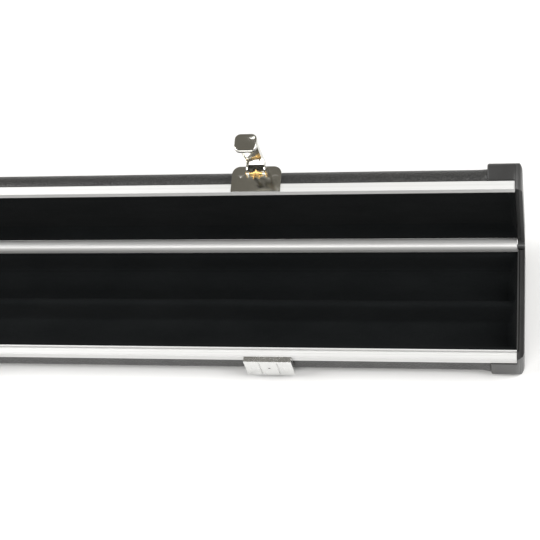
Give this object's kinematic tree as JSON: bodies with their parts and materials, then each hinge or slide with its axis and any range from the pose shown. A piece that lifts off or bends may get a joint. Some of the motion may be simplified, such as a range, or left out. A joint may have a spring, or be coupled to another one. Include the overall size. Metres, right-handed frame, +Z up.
{
  "type": "cue case",
  "caption": "Slim hard cue case, opened: a velvet-lined base tray and lid on a full-length aluminium hinge, with toggle latches, end caps and a fold-down handle.",
  "frame": {"origin": "centre of the base's flat underside", "axes": "+X along the case to its right end, +Y towards the hinge, away from the latches, +Z up; the lid stands open at rest"},
  "size_m": [1.25, 0.202, 0.2225],
  "materials": {
    "wood": "plywood, stained black",
    "leatherette": "grained black leatherette, semi-matt",
    "foam": "black open foam",
    "velvet": "short-pile black velvet",
    "rail_aluminium": "satin silver anodised",
    "screw_steel": "zinc plated",
    "cap_plastic": "moulded black, satin",
    "rivet_steel": "plated",
    "keeper_plate": "nickel plated",
    "latch_chrome": "bright nickel plated",
    "latch_brass": "brass plated",
    "grip_plastic": "moulded black, satin",
    "handle_chrome": "bright nickel plated"
  },
  "bodies": {
    "base": {"base_floor_board": "wood", "base_front_board": "wood", "base_back_board": "wood", "base_end_board_left": "wood", "base_end_board_right": "wood", "base_cover": "leatherette", "base_foam_front": "foam", "base_foam_ridge": "foam", "base_foam_back": "foam", "base_lining": "velvet", "base_front_rail": "rail_aluminium", "base_hinge_rail": "rail_aluminium", "base_cap_left": "cap_plastic", "base_cap_right": "cap_plastic", "base_cap_screws": "screw_steel", "base_hinge_rivets": "rivet_steel", "keeper_left": "keeper_plate", "keeper_right": "keeper_plate", "keeper_rivets": "rivet_steel", "handle_bracket_left": "handle_chrome", "handle_bracket_right": "handle_chrome", "handle_bracket_rivets": "rivet_steel", "handle_pin_left": "handle_chrome", "handle_pin_right": "handle_chrome"},
    "lid": {"lid_top_board": "wood", "lid_front_board": "wood", "lid_back_board": "wood", "lid_end_board_left": "wood", "lid_end_board_right": "wood", "lid_cover": "leatherette", "lid_foam_top": "foam", "lid_foam_front": "foam", "lid_foam_back": "foam", "lid_lining": "velvet", "lid_front_rail": "rail_aluminium", "lid_hinge_rail": "rail_aluminium", "lid_cap_left": "cap_plastic", "lid_cap_right": "cap_plastic", "lid_cap_screws": "screw_steel", "lid_hinge_rivets": "rivet_steel", "latch_plate_left": "latch_chrome", "latch_plate_right": "latch_chrome", "latch_rivets": "latch_chrome", "latch_pin_left": "latch_brass", "latch_pin_right": "latch_brass", "latch_spring_left": "latch_brass", "latch_spring_right": "latch_brass"},
    "lever_left": {"latch_lever_left": "latch_chrome"},
    "lever_right": {"latch_lever_right": "latch_chrome"},
    "handle": {"handle_end_left": "handle_chrome", "handle_end_right": "handle_chrome", "handle_grip": "grip_plastic"}
  },
  "joints": [
    {"name": "lid_hinge", "type": "hinge", "parent": "base", "child": "lid", "pos_m": [0, 0.06225, 0.0365], "axis": [1, 0, 0], "range_deg": [0, 83]},
    {"name": "latch_left", "type": "hinge", "parent": "lid", "child": "lever_left", "pos_m": [-0.376, 0.06463, 0.16807], "axis": [1, 0, 0], "range_deg": [0, 90]},
    {"name": "latch_right", "type": "hinge", "parent": "lid", "child": "lever_right", "pos_m": [0.376, 0.06463, 0.16807], "axis": [1, 0, 0], "range_deg": [0, 90]},
    {"name": "handle_swing", "type": "hinge", "parent": "base", "child": "handle", "pos_m": [0, -0.07055, 0.022], "axis": [-1, 0, 0], "range_deg": [0, 95]}
  ]
}
